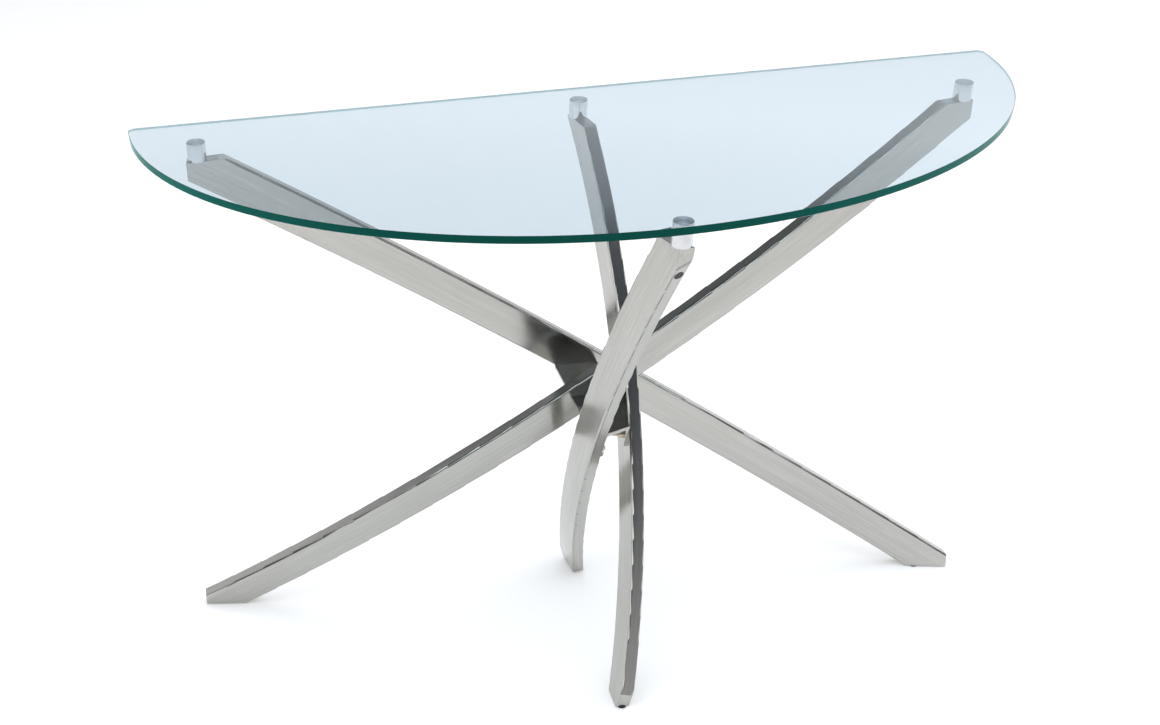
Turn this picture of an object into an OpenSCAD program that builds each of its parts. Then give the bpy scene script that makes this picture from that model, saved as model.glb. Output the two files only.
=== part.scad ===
// Console table: a half-oval glass top on four bent rectangular tubes that cross at a welded hub.
// Frame: +X runs along the straight back edge, +Y points to the wall, +Z up, floor at z = 0.
// The origin lies on the floor below the middle of the top.

/* [Top] */
// Length of the straight back edge
top_w = 1220; // [1000:5:1500]
// Depth from the back edge to the front of the curve
top_d = 460; // [380:5:560]
// Thickness of the glass
top_t = 10; // [8:0.5:15]
// Height of the table, floor to the top of the glass
table_h = 775; // [640:5:940]
// Cut across each back corner, measured along both edges
corner_clip = 7; // [2:0.5:20]
// Number of straight steps that make the curved edge
curve_steps = 120; // [60:2:160]

/* [Standoffs] */
// Diameter of the round standoffs
standoff_d = 25; // [20:0.5:32]
// Height of the standoffs
standoff_h = 25; // [20:0.5:40]
// Bevel round both ends of a standoff
standoff_bevel = 0.8; // [0.3:0.1:2]
// Left and right standoffs, inward from the top point of their strut
long_seat_in = 8; // [7:0.5:20]
// Back standoff, outward from the top point of its strut
back_seat_out = 11; // [0:0.5:13]
// Front standoff, outward from the top point of its strut
front_seat_out = 7; // [0:0.5:8]

/* [Tube] */
// Width of the tube
tube_w = 51; // [40:0.5:60]
// Thickness of the tube
tube_t = 19; // [18:0.5:24]
// Wall of the tube
tube_wall = 1.5; // [1:0.1:2]
// Outer corner radius of the tube
tube_r = 3; // [2:0.1:4]
// Thickness of the plates that close the tube ends
cap_t = 3; // [2:0.5:4]
// Gap round a plate set in between the tube walls
cap_gap = 0.1; // [0.05:0.05:0.3]

/* [Long struts] */
// Top point of the left strut, from the left end of the top
left_top_side = 78; // [60:1:140]
// Top point of the left strut, from the back edge
left_top_back = 61; // [50:1:140]
// Top point of the right strut, from the right end of the top
right_top_side = 74; // [60:1:140]
// Top point of the right strut, from the back edge
right_top_back = 105; // [60:1:140]
// Foot of the left strut, from the right end of the top
left_foot_side = 43; // [20:1:120]
// Foot of the left strut, from the back edge
left_foot_back = 201; // [150:1:240]
// Foot of the right strut, from the left end of the top
right_foot_side = 45; // [20:1:120]
// Foot of the right strut, from the back edge
right_foot_back = 53; // [40:1:110]
// Room between the right strut and the back strut where they pass
pass_gap = 2; // [1:0.5:20]
// Turn of the left strut about its own chord, in degrees
left_roll = 1.3; // [-6:0.1:6]
// Turn of the right strut about its own chord, in degrees
right_roll = 3.2; // [-6:0.1:6]
// Upright top end, outward from where the centreline meets the rail plane
long_top_end = 6; // [4:1:20]
// Upright foot end, outward from where the centreline meets the foot plane
long_foot_end = 17; // [4:1:30]

/* [Short struts] */
// Top point of the back strut, from the back edge
back_top_back = 48; // [40:1:80]
// Top point of the front strut, from the front of the curve
front_top_front = 32; // [25:1:60]
// Foot of the back strut, from the front of the curve
back_foot_front = 59; // [30:1:110]
// Foot of the front strut, from the back edge
front_foot_back = 75; // [40:1:110]
// Shift of the back strut's foot to the left
back_foot_left = 14; // [-20:1:20]
// Shift of the front strut's foot to the right
front_foot_right = 8; // [-20:1:20]
// Shift of the back strut's top to the right
back_top_right = 2; // [-20:1:20]
// Shift of the front strut's top to the right
front_top_right = 7; // [-20:1:20]
// Bow of the short struts
short_bow = 41; // [36:0.5:60]
// Turn of the back strut about its own chord, in degrees
back_roll = 4.9; // [-6:0.1:14]
// Turn of the front strut about its own chord, in degrees
front_roll = 12; // [-6:0.1:14]
// Upright top end of the back strut, outward from where the centreline meets the rail plane
back_top_end = 22; // [21:1:24]
// Upright top end of the front strut, outward from where the centreline meets the rail plane
front_top_end = 17; // [17:1:24]
// Upright foot ends, outward from where the centreline meets the foot plane
short_foot_end = 11; // [4:1:22]

/* [Hub] */
// Thickness of the hub plates
hub_t = 5; // [3:0.5:8]
// Hub plate, reach to the left of the middle
hub_left = 30; // [24:1:40]
// Hub plate, reach to the right of the middle
hub_right = 34; // [24:1:40]
// Depth of the flanges, from the top of the hub plate
flange_h = 34; // [34:1:60]
// Thickness of the flanges
flange_t = 4; // [3:0.5:6]
// Front end of the right flange, ahead of the middle
flange_front_right = 19; // [18:1:30]
// Front end of the left flange, ahead of the middle
flange_front_left = 40; // [36:1:50]
// Length of a flange, front to back
flange_len = 62; // [55:1:90]
// Hub bolts, along the strut from its middle towards the foot
bolt_drop = 23; // [20:1:30]
// Distance between the two bolts of a flange
bolt_pitch = 20; // [18:0.5:24]

/* [Fasteners] */
// Thread diameter of every screw and bolt
screw_d = 6; // [5:0.5:6]
// Diameter of a cap head
head_d = 10; // [8.5:0.5:10.5]
// Height of a cap head
head_h = 6; // [5:0.5:6]
// Width across the flats of the key socket
key_w = 5; // [4:0.5:5]
// Depth of the key socket
key_depth = 3; // [2:0.5:4]
// Diameter of a washer
washer_d = 12; // [11:0.5:13]
// Thickness of a washer
washer_t = 1.6; // [1:0.1:2]
// Room between a flat washer and the hollow face of a flange
washer_gap = 0.02; // [0.02:0.01:0.1]
// Thread length that a screw has inside its standoff
thread_in = 12; // [8:1:16]
// Length of a hub bolt inside its strut
bolt_in = 14; // [12:0.5:15]
// Radial room round a thread
thread_gap = 0.1; // [0.05:0.05:0.3]
// Radial room round a screw where it passes through a plate
pass_hole_gap = 0.3; // [0.2:0.1:0.5]
// Body diameter of a rivet nut
rivet_d = 9; // [8:0.5:9.5]
// Length of a rivet nut
rivet_len = 12; // [10:0.5:14]
// Diameter of the rolled collar behind the tube wall
collar_d = 12; // [11:0.5:13]
// Thickness of that collar
collar_t = 3; // [2:0.5:4]

/* [Access holes] */
// Diameter of the plugged hole under each standoff
hole_d = 12.5; // [8:0.5:12.5]
// Middle of the hole, down the strut from the foot of the upright top end
hole_below = 8; // [8:0.5:14]
// Radial room round the plug
plug_gap = 0.1; // [0.05:0.05:0.3]
// How far the plug lies below the face of the tube
plug_sink = 0.4; // [0:0.1:0.8]
// Width of the lip behind the tube wall
plug_lip = 0.4; // [0.2:0.1:0.5]
// Thickness of that lip
plug_lip_t = 1.5; // [1:0.5:3]
// Room between that lip and the wall
plug_play = 0.3; // [0.3:0.1:1]

/* [Floor pads] */
// Diameter of a floor pad
pad_d = 14; // [10:0.5:16]
// Thickness of a floor pad
pad_t = 1.5; // [1:0.5:4]
// Distance between the two pads of a long strut
long_pad_pitch = 34; // [20:1:40]
// Distance between the two pads of a short strut
short_pad_pitch = 18; // [16:1:22]

/* [Hidden] */

round_fn = 64;
corner_fn = 32;
bend_fn = 1440;
reach = 400;         // longer than anything that a cutting block has to pass
bend_spare = 100;    // tube kept past both ends of a bend before the ends are cut
face_w = 300;        // width of the blocks that carry a strut's face past its edges
nudge = 1;           // how far a cutting tool runs past the face that it cuts

steel = "silver";
brushed = "lightgray";
zinc = "darkkhaki";

half_w = top_w / 2;
back_y = top_d / 2;
front_y = -top_d / 2;
rail_z = table_h - top_t - standoff_h;
hub_z = (rail_z + pad_t) / 2;
rise = rail_z - pad_t;
lip_z = tube_wall + plug_play;

function unit(v) = v / norm(v);
function turned(v, axis, angle) = cos(angle) * v + sin(angle) * cross(axis, v);

// The right strut passes in front of the left one and behind the back strut. Its bow is worked out
// at the height where its upper edge crosses under the back strut's lower edge, so that pass_gap
// stays between them, and the left strut has the same bow.
back_top_y = back_y - back_top_back;
back_foot_y = front_y + back_foot_front;
back_run = back_top_y - back_foot_y;
back_slope = rise / back_run;
long_run = top_w - right_top_side - right_foot_side;
long_slope = rise / long_run;
long_middle_x = (right_foot_side - right_top_side) / 2;
back_middle_x = (back_top_right - back_foot_left) / 2;
pass_x = back_middle_x + short_bow + tube_t / 2 - long_middle_x;
pass_top_z = pass_x * long_slope + tube_w / 2 * sqrt(1 + long_slope ^ 2);
pass_back_z = (tube_w / 2 + pass_gap) * sqrt(1 + back_slope ^ 2);
roll_room = tube_w / 2 * sin(abs(right_roll)) + tube_t / 2 * sin(abs(back_roll));
pass_y = (back_top_y + back_foot_y) / 2 + (pass_top_z + pass_back_z) / back_slope + roll_room;
right_middle_y = back_y - (right_top_back + right_foot_back) / 2;
long_bow = right_middle_y - pass_y - tube_t / 2;

// A strut is [top point, foot point, bow side, bow, roll, top end, foot end, seat, pad pitch],
// where the seat is the standoff's place, from the top point towards the foot
LEFT = [
    [-half_w + left_top_side, back_y - left_top_back, rail_z],
    [half_w - left_foot_side, back_y - left_foot_back, pad_t],
    [0, 1, 0], long_bow, left_roll, long_top_end, long_foot_end, long_seat_in, long_pad_pitch
];
RIGHT = [
    [half_w - right_top_side, back_y - right_top_back, rail_z],
    [-half_w + right_foot_side, back_y - right_foot_back, pad_t],
    [0, -1, 0], long_bow, right_roll, long_top_end, long_foot_end, long_seat_in, long_pad_pitch
];
BACK = [
    [back_top_right, back_top_y, rail_z],
    [-back_foot_left, back_foot_y, pad_t],
    [1, 0, 0], short_bow, back_roll, back_top_end, short_foot_end, -back_seat_out, short_pad_pitch
];
FRONT = [
    [front_top_right, front_y + front_top_front, rail_z],
    [front_foot_right, back_y - front_foot_back, pad_t],
    [-1, 0, 0], short_bow, front_roll, front_top_end, short_foot_end, -front_seat_out, short_pad_pitch
];
STRUTS = [LEFT, RIGHT, BACK, FRONT];

function top_of(s) = s[0];
function foot_of(s) = s[1];
function bow_of(s) = s[3];
function top_end_of(s) = s[5];
function foot_end_of(s) = s[6];
function seat_of(s) = s[7];
function pitch_of(s) = s[8];

function chord(s) = norm(top_of(s) - foot_of(s));
function bend_radius(s) = (chord(s) ^ 2 / 4 + bow_of(s) ^ 2) / (2 * bow_of(s));
function half_angle(s) = asin(chord(s) / 2 / bend_radius(s));
function half_length(s) = half_angle(s) * PI / 180 * bend_radius(s);
function arc_angle(s, length) = length / bend_radius(s) * 180 / PI;
function up_chord(s) = unit(top_of(s) - foot_of(s));
function flat_bow(s) = unit(s[2] - up_chord(s) * (s[2] * up_chord(s)));
function bow_side(s) = turned(flat_bow(s), up_chord(s), s[4]);
function bend_centre(s) = (top_of(s) + foot_of(s)) / 2 - bow_side(s) * (bend_radius(s) - bow_of(s));
function plan_angle(s) = atan2(foot_of(s).y - top_of(s).y, foot_of(s).x - top_of(s).x);
function plan_length(s) = norm([foot_of(s).x - top_of(s).x, foot_of(s).y - top_of(s).y]);
function plan_ahead(s) = [cos(plan_angle(s)), sin(plan_angle(s)), 0];
function plan_aside(s) = [-sin(plan_angle(s)), cos(plan_angle(s)), 0];

// Across the thickness of the tube, at the top point
function top_across(s) = turned(bow_side(s), cross(bow_side(s), up_chord(s)), half_angle(s));
// How far aside a seat lies, so that it stays in the middle of the tube's thickness
function seat_aside(s) = -seat_of(s) * (plan_ahead(s) * top_across(s)) / (plan_aside(s) * top_across(s));

// How far down the strut, from the rail plane, the upright top end meets the lower wall
function top_end_foot(s) = (tube_w / 2 * rise / chord(s) - top_end_of(s) + cap_t) * chord(s) / plan_length(s);
// How far up the strut, from its middle, the access hole lies
function hole_up(s) = half_length(s) - top_end_foot(s) - hole_below;

// Outline of the top: a half ellipse, with the back corners cut off
curve = [
    for (i = [0 : curve_steps])
        let (a = 180 * i / curve_steps)
        [half_w * cos(a), back_y - top_d * sin(a)]
];

module top_outline() {
    difference() {
        polygon(curve);
        for (side = [-1, 1])
            translate([side * half_w, back_y])
                rotate(45)
                    square(corner_clip * sqrt(2), center = true);
    }
}

// Draws its children in the frame of a bend: X to the bow side, Y up the chord, Z across the tube
module in_bend(s) {
    n = bow_side(s);
    u = up_chord(s);
    w = cross(n, u);
    c = bend_centre(s);
    multmatrix([
        [n.x, u.x, w.x, c.x],
        [n.y, u.y, w.y, c.y],
        [n.z, u.z, w.z, c.z],
        [0, 0, 0, 1]
    ]) children();
}

// Draws its children on the centreline, a length up the strut from its middle, X pointing outward
module on_bend(s, up) {
    in_bend(s)
        rotate([0, 0, arc_angle(s, up)])
            translate([bend_radius(s), 0, 0])
                children();
}

module rounded_rect(t, w, r) {
    square([t - 2 * r, w], center = true);
    square([t, w - 2 * r], center = true);
    for (x = [-1, 1], y = [-1, 1])
        translate([x * (t / 2 - r), y * (w / 2 - r)])
            circle(r = r, $fn = corner_fn);
}

// Bends its 2D children, drawn about the centreline, along the whole strut
module bent(s) {
    half = half_angle(s) + arc_angle(s, bend_spare);
    in_bend(s)
        rotate([0, 0, -half])
            rotate_extrude(angle = 2 * half, $fn = bend_fn)
                translate([bend_radius(s), 0])
                    children();
}

module outer_bar(s) {
    bent(s) rounded_rect(tube_t, tube_w, tube_r);
}

module inner_bar(s, gap) {
    shrink = 2 * (tube_wall + gap);
    bent(s) rounded_rect(tube_t - shrink, tube_w - shrink, tube_r - tube_wall);
}

// A curved block beside a strut, between two distances from the strut's centreline
module curved_block(s, from, to, width = face_w) {
    half = arc_angle(s, reach / 2);
    in_bend(s)
        rotate([0, 0, -half])
            rotate_extrude(angle = 2 * half, $fn = bend_fn)
                translate([bend_radius(s) + from, -width / 2])
                    square([to - from, width]);
}

// Draws its children along the strut's plan from its top point, at a height, X towards the foot
module on_plan(s, along, z) {
    translate([top_of(s).x, top_of(s).y, z])
        rotate([0, 0, plan_angle(s)])
            translate([along, 0, 0])
                children();
}

// The block between two upright planes across the strut, a and b along the plan from its top point
module between(s, a, b, z0, z1) {
    on_plan(s, a, z0)
        translate([0, -reach / 2, 0])
            cube([b - a, reach, z1 - z0]);
}

// Draws its children on the standoff's axis, at a height
module on_seat(s, z) {
    on_plan(s, seat_of(s), z)
        translate([0, seat_aside(s), 0])
            children();
}

module strut(s, bolted) {
    color(brushed)
        difference() {
            intersection() {
                outer_bar(s);
                between(s, -top_end_of(s), plan_length(s) + foot_end_of(s), pad_t, rail_z);
            }
            inner_bar(s, 0);
            on_bend(s, hole_up(s))
                translate([0, 0, -tube_w / 2 - nudge])
                    cylinder(d = hole_d, h = tube_wall + 2 * nudge, $fn = round_fn);
            if (bolted)
                for (side = [-1, 1])
                    at_bolt(s, side)
                        translate([0, 0, -nudge])
                            cylinder(d = rivet_d + 2 * thread_gap, h = tube_wall + 2 * nudge, $fn = round_fn);
        }
}

module top_plate(s) {
    color(steel)
        difference() {
            intersection() {
                inner_bar(s, cap_gap);
                between(s, -top_end_of(s), plan_length(s), rail_z - cap_t, rail_z);
            }
            on_seat(s, rail_z - cap_t - nudge)
                pass_hole(cap_t);
        }
}

module top_end(s) {
    color(steel)
        intersection() {
            inner_bar(s, cap_gap);
            between(s, -top_end_of(s), -top_end_of(s) + cap_t, hub_z, rail_z - cap_t);
        }
}

module foot_plate(s) {
    color(steel)
        intersection() {
            inner_bar(s, cap_gap);
            between(s, 0, plan_length(s) + foot_end_of(s), pad_t, pad_t + cap_t);
        }
}

module foot_end(s) {
    end = plan_length(s) + foot_end_of(s);
    color(steel)
        intersection() {
            inner_bar(s, cap_gap);
            between(s, end - cap_t, end, pad_t + cap_t, hub_z);
        }
}

module standoff(s) {
    bore = screw_d / 2 + thread_gap;
    side = standoff_d / 2;
    color("gainsboro")
        on_seat(s, rail_z)
            rotate_extrude($fn = round_fn)
                difference() {
                    polygon([
                        [0, 0],
                        [side - standoff_bevel, 0],
                        [side, standoff_bevel],
                        [side, standoff_h - standoff_bevel],
                        [side - standoff_bevel, standoff_h],
                        [0, standoff_h]
                    ]);
                    translate([-nudge, -nudge])
                        square([bore + nudge, thread_in + 2 * nudge]);
                }
}

// A hole for a screw, with the plate's thickness above nudge
module pass_hole(thickness) {
    cylinder(d = screw_d + 2 * pass_hole_gap, h = thickness + 2 * nudge, $fn = round_fn);
}

// A cap screw that points up from z = 0, with its head below
module cap_screw(length) {
    difference() {
        union() {
            translate([0, 0, -head_h])
                cylinder(d = head_d, h = head_h, $fn = round_fn);
            cylinder(d = screw_d, h = length, $fn = round_fn);
        }
        translate([0, 0, -head_h - nudge])
            cylinder(d = key_w / cos(30), h = key_depth + nudge, $fn = 6);
    }
}

// A washer whose upper face is at z = 0
module washer() {
    translate([0, 0, -washer_t])
        difference() {
            cylinder(d = washer_d, h = washer_t, $fn = round_fn);
            translate([0, 0, -nudge])
                pass_hole(washer_t);
        }
}

module standoff_screws() {
    color(zinc)
        for (s = STRUTS)
            on_seat(s, rail_z - cap_t - washer_t)
                cap_screw(washer_t + cap_t + thread_in);
}

module standoff_washers() {
    color(zinc)
        for (s = STRUTS)
            on_seat(s, rail_z - cap_t)
                washer();
}

module hole_plugs() {
    color([0.05, 0.05, 0.05])
        for (s = STRUTS)
            on_bend(s, hole_up(s))
                translate([0, 0, -tube_w / 2]) {
                    translate([0, 0, plug_sink])
                        cylinder(d = hole_d - 2 * plug_gap, h = lip_z - plug_sink, $fn = round_fn);
                    translate([0, 0, lip_z])
                        cylinder(d = hole_d + 2 * plug_lip, h = plug_lip_t, $fn = round_fn);
                }
}

// Everything on the bow side of a strut's inner face
module beyond_inner(s) {
    curved_block(s, -tube_t / 2, reach);
}

// Everything on the hollow side of a strut's outer face
module within_outer(s) {
    curved_block(s, -reach, tube_t / 2);
}

module hub_plate() {
    color(steel)
        difference() {
            translate([-hub_left, 0, hub_z - hub_t])
                cube([hub_left + hub_right, reach, hub_t]);
            beyond_inner(LEFT);
            beyond_inner(RIGHT);
        }
}

module hub_web() {
    difference() {
        translate([0, 0, hub_z - hub_t])
            linear_extrude(hub_t)
                polygon([
                    [-hub_left, back_y],
                    [-hub_left, -flange_front_left],
                    [hub_right, -flange_front_right],
                    [hub_right, back_y]
                ]);
        within_outer(RIGHT);
        beyond_inner(BACK);
        beyond_inner(FRONT);
    }
}

// The flange of the hub channel against the inner face of a short strut, no wider than its flat
module flange(s, front) {
    intersection() {
        curved_block(s, -tube_t / 2 - flange_t, -tube_t / 2, tube_w - 2 * tube_r);
        translate([-reach / 2, -front, hub_z - flange_h])
            cube([reach, flange_len, flange_h]);
    }
}

module hub_channel() {
    color(steel)
        difference() {
            union() {
                hub_web();
                flange(BACK, flange_front_right);
                flange(FRONT, flange_front_left);
            }
            for (s = [BACK, FRONT], side = [-1, 1])
                at_bolt(s, side)
                    translate([0, 0, -flange_t - nudge])
                        pass_hole(flange_t);
        }
}

// Draws its children where a hub bolt meets the strut's inner face, Z pointing into the tube
module at_bolt(s, side) {
    on_bend(s, -bolt_drop)
        translate([-tube_t / 2, 0, side * bolt_pitch / 2])
            rotate([0, 90, 0])
                children();
}

module each_bolt() {
    for (s = [BACK, FRONT], side = [-1, 1])
        at_bolt(s, side)
            children();
}

module hub_bolts() {
    color(zinc)
        each_bolt()
            translate([0, 0, -flange_t - washer_gap - washer_t])
                cap_screw(washer_t + washer_gap + flange_t + bolt_in);
}

module hub_washers() {
    color(zinc)
        each_bolt()
            translate([0, 0, -flange_t - washer_gap])
                washer();
}

module rivet_nuts() {
    color(zinc)
        each_bolt()
            difference() {
                union() {
                    cylinder(d = rivet_d, h = rivet_len, $fn = round_fn);
                    translate([0, 0, tube_wall])
                        cylinder(d = collar_d, h = collar_t, $fn = round_fn);
                }
                translate([0, 0, -nudge])
                    cylinder(d = screw_d + 2 * thread_gap, h = rivet_len + 2 * nudge, $fn = round_fn);
            }
}

module floor_pads() {
    color("dimgray")
        for (s = STRUTS, side = [-1, 1])
            on_plan(s, plan_length(s) + pad_middle(s) + side * pitch_of(s) / 2, 0)
                cylinder(d = pad_d, h = pad_t, $fn = round_fn);
}

// Middle of the flat under a foot, along the plan from the foot point
function pad_middle(s) = (foot_end_of(s) - tube_w / 2 * chord(s) / rise) / 2;

module glass_top() {
    color([0.82, 0.92, 0.9, 0.5])
        translate([0, 0, table_h - top_t])
            linear_extrude(top_t)
                top_outline();
}

glass_top();
standoff(LEFT);  // standoff_left
standoff(RIGHT);  // standoff_right
standoff(BACK);  // standoff_back
standoff(FRONT);  // standoff_front
standoff_screws();
standoff_washers();
strut(LEFT, false);  // strut_left
strut(RIGHT, false);  // strut_right
strut(BACK, true);  // strut_back
strut(FRONT, true);  // strut_front
top_plate(LEFT);  // top_plate_left
top_plate(RIGHT);  // top_plate_right
top_plate(BACK);  // top_plate_back
top_plate(FRONT);  // top_plate_front
top_end(LEFT);  // top_end_left
top_end(RIGHT);  // top_end_right
top_end(BACK);  // top_end_back
top_end(FRONT);  // top_end_front
foot_plate(LEFT);  // foot_plate_left
foot_plate(RIGHT);  // foot_plate_right
foot_plate(BACK);  // foot_plate_back
foot_plate(FRONT);  // foot_plate_front
foot_end(LEFT);  // foot_end_left
foot_end(RIGHT);  // foot_end_right
foot_end(BACK);  // foot_end_back
foot_end(FRONT);  // foot_end_front
hole_plugs();
hub_plate();
hub_channel();
hub_bolts();
hub_washers();
rivet_nuts();
floor_pads();
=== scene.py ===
# %% [markdown]
# This lesson gives a finished look to a console table: a half-oval glass top that stands on four
# bent, brushed metal tubes, which cross at a welded hub. The tubes, the plates that close them and
# the hub come from the CAD model and stay exactly as they are. Blender adds the ground glass, the
# turned standoffs, the floor pads, every finish, the studio and the camera.

# %% Load the fixed frame
import math

import bpy
import numpy as np
from mathutils import Matrix, Vector


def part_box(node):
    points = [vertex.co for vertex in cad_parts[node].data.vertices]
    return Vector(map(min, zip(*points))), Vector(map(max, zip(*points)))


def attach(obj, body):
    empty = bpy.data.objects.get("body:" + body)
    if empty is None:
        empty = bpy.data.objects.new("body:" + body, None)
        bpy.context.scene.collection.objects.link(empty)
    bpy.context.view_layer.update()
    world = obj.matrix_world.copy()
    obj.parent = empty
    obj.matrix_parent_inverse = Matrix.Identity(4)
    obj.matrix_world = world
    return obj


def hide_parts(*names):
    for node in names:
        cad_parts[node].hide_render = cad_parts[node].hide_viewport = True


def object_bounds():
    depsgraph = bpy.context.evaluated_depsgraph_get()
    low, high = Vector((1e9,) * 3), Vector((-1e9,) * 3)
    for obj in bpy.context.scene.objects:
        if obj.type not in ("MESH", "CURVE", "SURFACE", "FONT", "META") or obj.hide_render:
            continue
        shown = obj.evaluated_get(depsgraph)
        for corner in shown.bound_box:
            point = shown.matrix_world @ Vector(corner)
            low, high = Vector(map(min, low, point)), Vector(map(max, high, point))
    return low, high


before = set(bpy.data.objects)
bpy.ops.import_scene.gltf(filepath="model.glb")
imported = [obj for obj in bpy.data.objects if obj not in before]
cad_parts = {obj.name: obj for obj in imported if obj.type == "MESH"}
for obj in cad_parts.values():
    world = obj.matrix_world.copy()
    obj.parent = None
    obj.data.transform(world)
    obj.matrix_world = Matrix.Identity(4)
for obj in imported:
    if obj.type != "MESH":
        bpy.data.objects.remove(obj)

cad_low, cad_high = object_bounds()
MM = 0.001
cad_size = cad_high - cad_low
print("CAD box in mm:", [round(side / MM, 1) for side in cad_size])

# %% [markdown]
# Blender's geometry and materials are both made of node trees. A tree can be drawn by hand in the
# editor, or laid out by a script as here, which keeps every size in one place. Four small helpers
# do the laying out: one adds a node and fills its inputs, and three add sums that come up often.

# %% Helpers that lay out node trees
def place(tree, kind, inputs=(), **settings):
    node = tree.nodes.new(kind)
    for name, setting in settings.items():
        setattr(node, name, setting)
    pairs = inputs.items() if isinstance(inputs, dict) else enumerate(inputs)
    for key, value in pairs:
        if isinstance(value, bpy.types.NodeSocket):
            tree.links.new(value, node.inputs[key])
        else:
            node.inputs[key].default_value = value
    return node


def sums(tree, operation, *values):
    return place(tree, "ShaderNodeMath", values, operation=operation).outputs[0]


def vector_sums(tree, operation, *values):
    node = place(tree, "ShaderNodeVectorMath", values, operation=operation)
    one_number = operation in ("DOT_PRODUCT", "LENGTH")
    return node.outputs["Value" if one_number else "Vector"]


def scaled(tree, vector, by):
    node = place(tree, "ShaderNodeVectorMath", {"Vector": vector, "Scale": by}, operation="SCALE")
    return node.outputs["Vector"]


print("Helpers ready: place, sums, vector_sums, scaled")


# %% [markdown]
# A group is a tree that other trees use as one node. Its inputs and outputs are sockets with names,
# so that it reads like a tool with labelled dials. This helper starts one and hands back its ends.

# %% Start a group with named inputs and outputs
def start_group(name, kind, takes, gives):
    tree = bpy.data.node_groups.new(name, kind)
    for label, socket_type, value in takes:
        socket = tree.interface.new_socket(name=label, in_out="INPUT", socket_type=socket_type)
        if value is not None:
            socket.default_value = value
    for label, socket_type in gives:
        tree.interface.new_socket(name=label, in_out="OUTPUT", socket_type=socket_type)
    start = tree.nodes.new("NodeGroupInput")
    end = tree.nodes.new("NodeGroupOutput")
    return tree, start.outputs, end.inputs


def use_group(tree, group, inputs):
    return place(tree, "ShaderNodeGroup", inputs, node_tree=group).outputs


FLOAT = "NodeSocketFloat"
VECTOR = "NodeSocketVector"
print("Sockets used most:", FLOAT, "and", VECTOR)

# %% [markdown]
# The tubes were brushed along their length before or after they were bent, so the lines follow the
# bend. A straight stripe pattern would run off the edge of a bent tube. The cure is to unroll the
# bend: a point's angle about the bend's centre, times the radius, is its place along the tube. The
# other two numbers are its place across the tube and its distance out from the middle of the wall.

# %% Group: unroll a bent tube
unroll, given, result = start_group(
    "Unroll the bend", "ShaderNodeTree",
    [
        ("Position", VECTOR, None),
        ("Bend Centre", VECTOR, None),
        ("Outward", VECTOR, None),
        ("Up The Tube", VECTOR, None),
        ("Across", VECTOR, None),
        ("Bend Radius", FLOAT, 1.0),
    ],
    [("Grain Space", VECTOR), ("Outward Here", VECTOR)],
)
from_centre = vector_sums(unroll, "SUBTRACT", given["Position"], given["Bend Centre"])
outward = vector_sums(unroll, "DOT_PRODUCT", from_centre, given["Outward"])
upward = vector_sums(unroll, "DOT_PRODUCT", from_centre, given["Up The Tube"])
across = vector_sums(unroll, "DOT_PRODUCT", from_centre, given["Across"])
turn = sums(unroll, "ARCTAN2", upward, outward)
along = sums(unroll, "MULTIPLY", turn, given["Bend Radius"])
reach = sums(unroll, "SQRT", sums(unroll, "ADD", sums(unroll, "MULTIPLY", outward, outward),
                                  sums(unroll, "MULTIPLY", upward, upward)))
out = sums(unroll, "SUBTRACT", reach, given["Bend Radius"])
unrolled = place(unroll, "ShaderNodeCombineXYZ", [along, across, out]).outputs[0]
unroll.links.new(unrolled, result["Grain Space"])
outward_part = scaled(unroll, given["Outward"], outward)
upward_part = scaled(unroll, given["Up The Tube"], upward)
from_bend = vector_sums(unroll, "NORMALIZE", vector_sums(unroll, "ADD", outward_part, upward_part))
unroll.links.new(from_bend, result["Outward Here"])
print("Group made:", unroll.name)

# %% [markdown]
# The corners of the tube are small rounds, which the CAD mesh draws with only two or three flat
# strips. Shading can round them again, because the section is known. On a flat the surface faces
# straight out, and on a corner it faces away from the corner's own centre. Where that disagrees with
# the mesh, as on a cut end or inside the tube, the mesh's own direction is kept.

# %% Group: round tube corners
AGREEMENT = 0.8
tube_corners, given, result = start_group(
    "Round tube corners", "ShaderNodeTree",
    [
        ("Grain Space", VECTOR, None),
        ("Outward Here", VECTOR, None),
        ("Across", VECTOR, None),
        ("Half Thickness", FLOAT, 0.01),
        ("Half Width", FLOAT, 0.025),
        ("Corner Radius", FLOAT, 0.003),
    ],
    [("Normal", VECTOR)],
)


def past_the_flat(tree, from_middle, half, corner_radius):
    flat = sums(tree, "SUBTRACT", half, corner_radius)
    past = sums(tree, "SUBTRACT", sums(tree, "ABSOLUTE", from_middle), flat)
    return sums(tree, "MULTIPLY", sums(tree, "MAXIMUM", past, 0.0), sums(tree, "SIGN", from_middle))


in_section = place(tube_corners, "ShaderNodeSeparateXYZ", [given["Grain Space"]]).outputs
sideways = past_the_flat(tube_corners, in_section[1], given["Half Width"], given["Corner Radius"])
outwards = past_the_flat(tube_corners, in_section[2], given["Half Thickness"], given["Corner Radius"])
side_part = scaled(tube_corners, given["Across"], sideways)
out_part = scaled(tube_corners, given["Outward Here"], outwards)
round_way = vector_sums(tube_corners, "NORMALIZE", vector_sums(tube_corners, "ADD", side_part, out_part))
mesh_way = place(tube_corners, "ShaderNodeNewGeometry").outputs["Normal"]
agreement = vector_sums(tube_corners, "DOT_PRODUCT", round_way, mesh_way)
on_outside = sums(tube_corners, "GREATER_THAN", agreement, AGREEMENT)
lean_to_round = scaled(tube_corners, vector_sums(tube_corners, "SUBTRACT", round_way, mesh_way), on_outside)
tube_corners.links.new(vector_sums(tube_corners, "ADD", mesh_way, lean_to_round), result["Normal"])
print("Group made:", tube_corners.name)

# %% [markdown]
# Brushing leaves thousands of fine scratches side by side, and the belt's pressure wanders, so
# some stretches come out a little duller than others. Two stretched noises give the scratches,
# one for single lines and one for bands of them, and a third, soft noise gives the dull stretches.

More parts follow.
